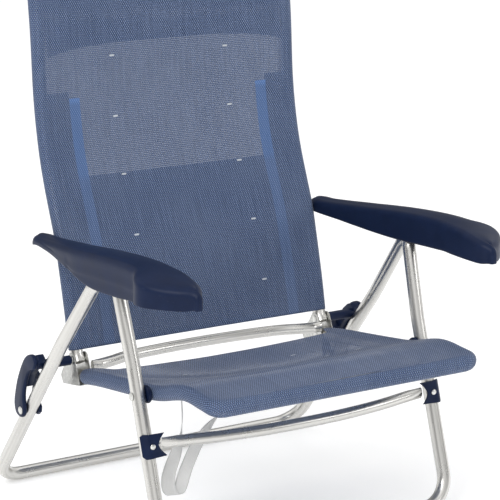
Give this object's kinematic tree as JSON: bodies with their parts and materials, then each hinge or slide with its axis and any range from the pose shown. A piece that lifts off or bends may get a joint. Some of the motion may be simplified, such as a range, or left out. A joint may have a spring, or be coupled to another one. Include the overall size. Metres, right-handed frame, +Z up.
{
  "type": "folding beach chair",
  "caption": "Low folding beach chair: bent tube legs, seat and backrest with mesh slings, moulded armrests, link arms that fold the legs with the seat, and a reclining back.",
  "frame": {"origin": "on the floor, midway between the front and rear floor bars and between the two sides", "axes": "+X to the left-hand armrest of someone sitting in it, -Y the way the sitter faces, +Z up"},
  "size_m": [0.654, 0.628, 0.912],
  "materials": {
    "aluminium": "drawn tube, satin",
    "pressed_metal": "pressed sheet, satin",
    "navy_plastic": "satin moulded",
    "black_plastic": "matte",
    "mesh_fabric": "coated mesh weave",
    "webbing": "woven"
  },
  "bodies": {
    "front_legs": {"front_leg_tube": "aluminium", "front_cross_tube": "aluminium", "clamp_left": "navy_plastic", "clamp_right": "navy_plastic", "leg_rivet_left": "aluminium", "leg_rivet_right": "aluminium", "spacer_left": "navy_plastic", "spacer_right": "navy_plastic", "seat_rivet_left": "aluminium", "seat_rivet_right": "aluminium"},
    "rear_legs": {"rear_leg_tube": "aluminium", "link_rivet_left": "aluminium", "link_rivet_right": "aluminium"},
    "link_left": {"link_left": "navy_plastic"},
    "link_right": {"link_right": "navy_plastic"},
    "seat": {"seat_frame_tube": "aluminium", "seat_sling": "mesh_fabric", "bracket_left": "pressed_metal", "bracket_right": "pressed_metal", "seat_plug_left": "black_plastic", "seat_plug_right": "black_plastic", "bracket_rivet_left": "aluminium", "bracket_rivet_right": "aluminium", "carry_strap": "webbing"},
    "hinge_pins": {"rear_cross_tube": "aluminium", "hinge_rivet_left": "aluminium", "hinge_rivet_right": "aluminium"},
    "backrest": {"back_frame_tube": "aluminium", "back_sling": "mesh_fabric"},
    "arm_pin_left": {"arm_rivet_left": "aluminium"},
    "arm_pin_right": {"arm_rivet_right": "aluminium"},
    "armrest_left": {"armrest_left": "navy_plastic"},
    "armrest_right": {"armrest_right": "navy_plastic"}
  },
  "joints": [
    {"name": "seat_fold", "type": "hinge", "parent": "front_legs", "child": "seat", "pos_m": [0, -0.1715, 0.259], "axis": [-1, 0, 0], "range_deg": [0, 70], "deforming": ["carry_strap"]},
    {"name": "rear_leg_fold", "type": "hinge", "parent": "front_legs", "child": "rear_legs", "pos_m": [0, -0.115, 0.446], "axis": [-1, 0, 0], "range_deg": [0, 46]},
    {"name": "link_left_turn", "type": "hinge", "parent": "rear_legs", "child": "link_left", "pos_m": [0, 0.1215, 0.1665], "axis": [-1, 0, 0], "range_deg": [0, 102]},
    {"name": "link_right_turn", "type": "hinge", "parent": "rear_legs", "child": "link_right", "pos_m": [0, 0.1215, 0.1665], "axis": [-1, 0, 0], "range_deg": [0, 102]},
    {"name": "back_fold", "type": "hinge", "parent": "seat", "child": "hinge_pins", "pos_m": [0, 0.0762, 0.2515], "axis": [-1, 0, 0], "range_deg": [-70.5, 0]},
    {"name": "back_recline", "type": "hinge", "parent": "hinge_pins", "child": "backrest", "pos_m": [0, 0.0762, 0.2515], "axis": [-1, 0, 0], "range_deg": [0, 35]},
    {"name": "arm_left_fold", "type": "hinge", "parent": "backrest", "child": "arm_pin_left", "pos_m": [0, 0.128, 0.438], "axis": [-1, 0, 0], "range_deg": [0, 70.5]},
    {"name": "arm_right_fold", "type": "hinge", "parent": "backrest", "child": "arm_pin_right", "pos_m": [0, 0.128, 0.438], "axis": [-1, 0, 0], "range_deg": [0, 70.5]},
    {"name": "arm_left_level", "type": "hinge", "parent": "arm_pin_left", "child": "armrest_left", "pos_m": [0, 0.128, 0.438], "axis": [-1, 0, 0], "range_deg": [-25, 0]},
    {"name": "arm_right_level", "type": "hinge", "parent": "arm_pin_right", "child": "armrest_right", "pos_m": [0, 0.128, 0.438], "axis": [-1, 0, 0], "range_deg": [-25, 0]}
  ],
  "couplings": [
    {"joint": "rear_leg_fold", "follows": "seat_fold", "ratio": 0.645},
    {"joint": "link_left_turn", "follows": "seat_fold", "ratio": 1.436},
    {"joint": "link_right_turn", "follows": "seat_fold", "ratio": 1.436},
    {"joint": "back_fold", "follows": "seat_fold", "ratio": -1},
    {"joint": "arm_left_fold", "follows": "seat_fold", "ratio": 1},
    {"joint": "arm_right_fold", "follows": "seat_fold", "ratio": 1},
    {"joint": "arm_left_level", "follows": "back_recline", "ratio": -0.7},
    {"joint": "arm_right_level", "follows": "back_recline", "ratio": -0.7}
  ]
}
